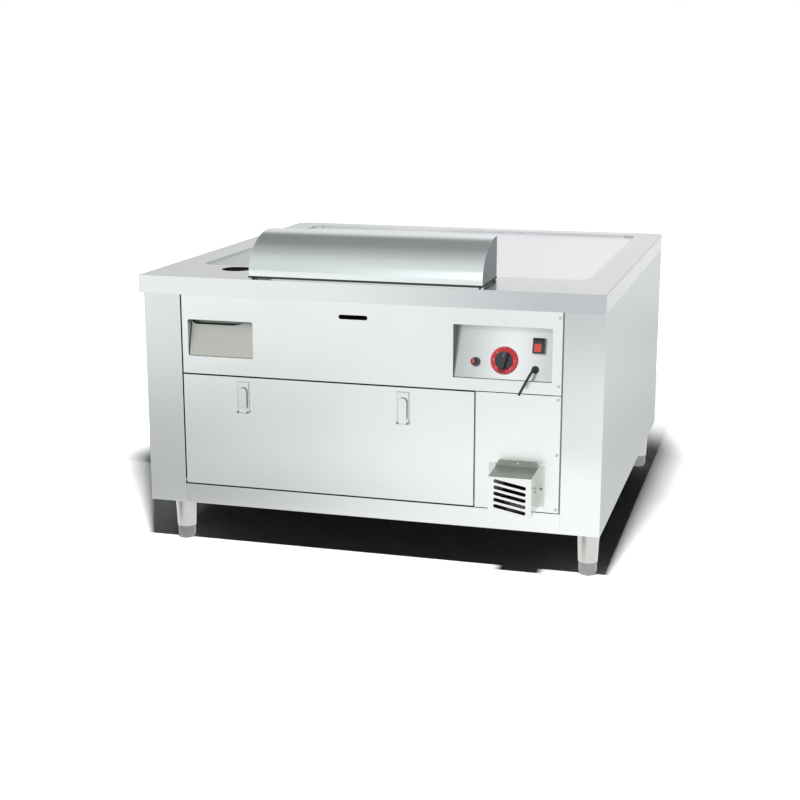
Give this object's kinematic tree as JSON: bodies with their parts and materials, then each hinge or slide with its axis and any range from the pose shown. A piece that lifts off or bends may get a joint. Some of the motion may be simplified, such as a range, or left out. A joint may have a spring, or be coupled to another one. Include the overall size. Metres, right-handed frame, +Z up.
{
  "type": "teppanyaki grill table",
  "caption": "Floor-standing electric teppanyaki table: stainless cabinet, sunk hot plate, curved fume hood, scrap drawer, tilted controls and adjustable feet.",
  "frame": {"origin": "on the floor, below the centre of the outer box", "axes": "+X to the right and +Y to the back as the cook faces the controls, +Z up"},
  "size_m": [1.3, 1.432, 0.92],
  "materials": {
    "panel_steel": "fine brushed",
    "inner_steel": "mill",
    "drawer_steel": "matt",
    "plate_steel": "ground",
    "element_sheath": "oxidised",
    "mineral_wool": "matt",
    "black_rubber": "satin",
    "impeller_aluminium": "mill",
    "motor_paint": "satin",
    "black_plastic": "satin",
    "red_plastic": "gloss",
    "red_lens": "gloss",
    "terminal_plastic": "matt"
  },
  "bodies": {
    "cabinet": {"worktop": "panel_steel", "griddle_plate": "plate_steel", "plate_frame": "inner_steel", "corner_posts": "inner_steel", "base_frame": "inner_steel", "floor_panel": "inner_steel", "left_side_panel": "panel_steel", "right_side_panel": "panel_steel", "back_panel": "panel_steel", "bottom_rail": "panel_steel", "front_fascia": "panel_steel", "service_panel": "panel_steel", "bay_divider": "inner_steel", "panel_screws": "inner_steel", "heating_elements": "element_sheath", "element_clamps": "inner_steel", "insulation_slab": "mineral_wool", "insulation_tray": "inner_steel", "scrap_chute": "inner_steel", "drawer_cradle": "inner_steel", "hood_hinge_brackets": "inner_steel", "hood_rest_pads": "black_rubber", "grease_filter": "inner_steel", "suction_plenum": "inner_steel", "exhaust_duct": "inner_steel", "fan_inlet_collar": "inner_steel", "fan_housing": "inner_steel", "fan_motor": "motor_paint", "vent_cowl": "panel_steel", "cowl_rivets": "inner_steel", "control_recess": "panel_steel", "control_plate": "panel_steel", "thermostat_body": "black_plastic", "rocker_frame": "black_plastic", "pilot_bezel": "black_plastic", "pilot_lens": "red_lens", "cord_gland": "black_rubber", "supply_cord": "black_rubber", "terminal_block": "terminal_plastic", "leg_sleeves": "panel_steel"},
    "hood": {"hood_shell": "panel_steel", "hood_end_left": "panel_steel", "hood_end_right": "panel_steel", "hood_hinge_rod": "inner_steel"},
    "door": {"access_door": "panel_steel", "door_hinge_pins": "inner_steel", "latch_left_base": "panel_steel", "latch_right_base": "panel_steel"},
    "latch_left": {"latch_left_lever": "panel_steel"},
    "latch_right": {"latch_right_lever": "panel_steel"},
    "drawer": {"scrap_drawer": "drawer_steel"},
    "knob": {"thermostat_spindle": "inner_steel", "dial_skirt": "red_plastic", "knob_grip": "black_plastic"},
    "rocker": {"rocker_button": "red_plastic"},
    "impeller": {"fan_impeller": "impeller_aluminium"},
    "foot_fl": {"foot_front_left": "panel_steel"},
    "foot_fr": {"foot_front_right": "panel_steel"},
    "foot_bl": {"foot_back_left": "panel_steel"},
    "foot_br": {"foot_back_right": "panel_steel"}
  },
  "joints": [
    {"name": "hood_hinge", "type": "hinge", "parent": "cabinet", "child": "hood", "pos_m": [0, -0.618, 0.82], "axis": [1, 0, 0], "range_deg": [0, 95]},
    {"name": "door_hinge", "type": "hinge", "parent": "cabinet", "child": "door", "pos_m": [-0.111, -0.618, 0.217], "axis": [1, 0, 0], "range_deg": [0, 90]},
    {"name": "latch_left_pivot", "type": "hinge", "parent": "door", "child": "latch_left", "pos_m": [-0.35, -0.6315, 0.432], "axis": [1, 0, 0], "range_deg": [0, 75]},
    {"name": "latch_right_pivot", "type": "hinge", "parent": "door", "child": "latch_right", "pos_m": [0.11, -0.6315, 0.432], "axis": [1, 0, 0], "range_deg": [0, 75]},
    {"name": "drawer_slide", "type": "slide", "parent": "cabinet", "child": "drawer", "axis": [0, -1, 0], "range_m": [0, 0.26]},
    {"name": "thermostat_turn", "type": "hinge", "parent": "cabinet", "child": "knob", "pos_m": [0.381, -0.60157, 0.609], "axis": [0, 0.9604, -0.2787], "range_deg": [0, 270]},
    {"name": "rocker_pivot", "type": "hinge", "parent": "cabinet", "child": "rocker", "pos_m": [0.472, -0.59784, 0.65237], "axis": [-1, 0, 0], "range_deg": [0, 14]},
    {"name": "impeller_spin", "type": "hinge", "parent": "cabinet", "child": "impeller", "pos_m": [0.424, -0.4245, 0.349], "axis": [-1, 0, 0], "continuous": true},
    {"name": "foot_fl_adjust", "type": "slide", "parent": "cabinet", "child": "foot_fl", "axis": [0, 0, -1], "range_m": [0, 0.03]},
    {"name": "foot_fr_adjust", "type": "slide", "parent": "cabinet", "child": "foot_fr", "axis": [0, 0, -1], "range_m": [0, 0.03]},
    {"name": "foot_bl_adjust", "type": "slide", "parent": "cabinet", "child": "foot_bl", "axis": [0, 0, -1], "range_m": [0, 0.03]},
    {"name": "foot_br_adjust", "type": "slide", "parent": "cabinet", "child": "foot_br", "axis": [0, 0, -1], "range_m": [0, 0.03]}
  ]
}
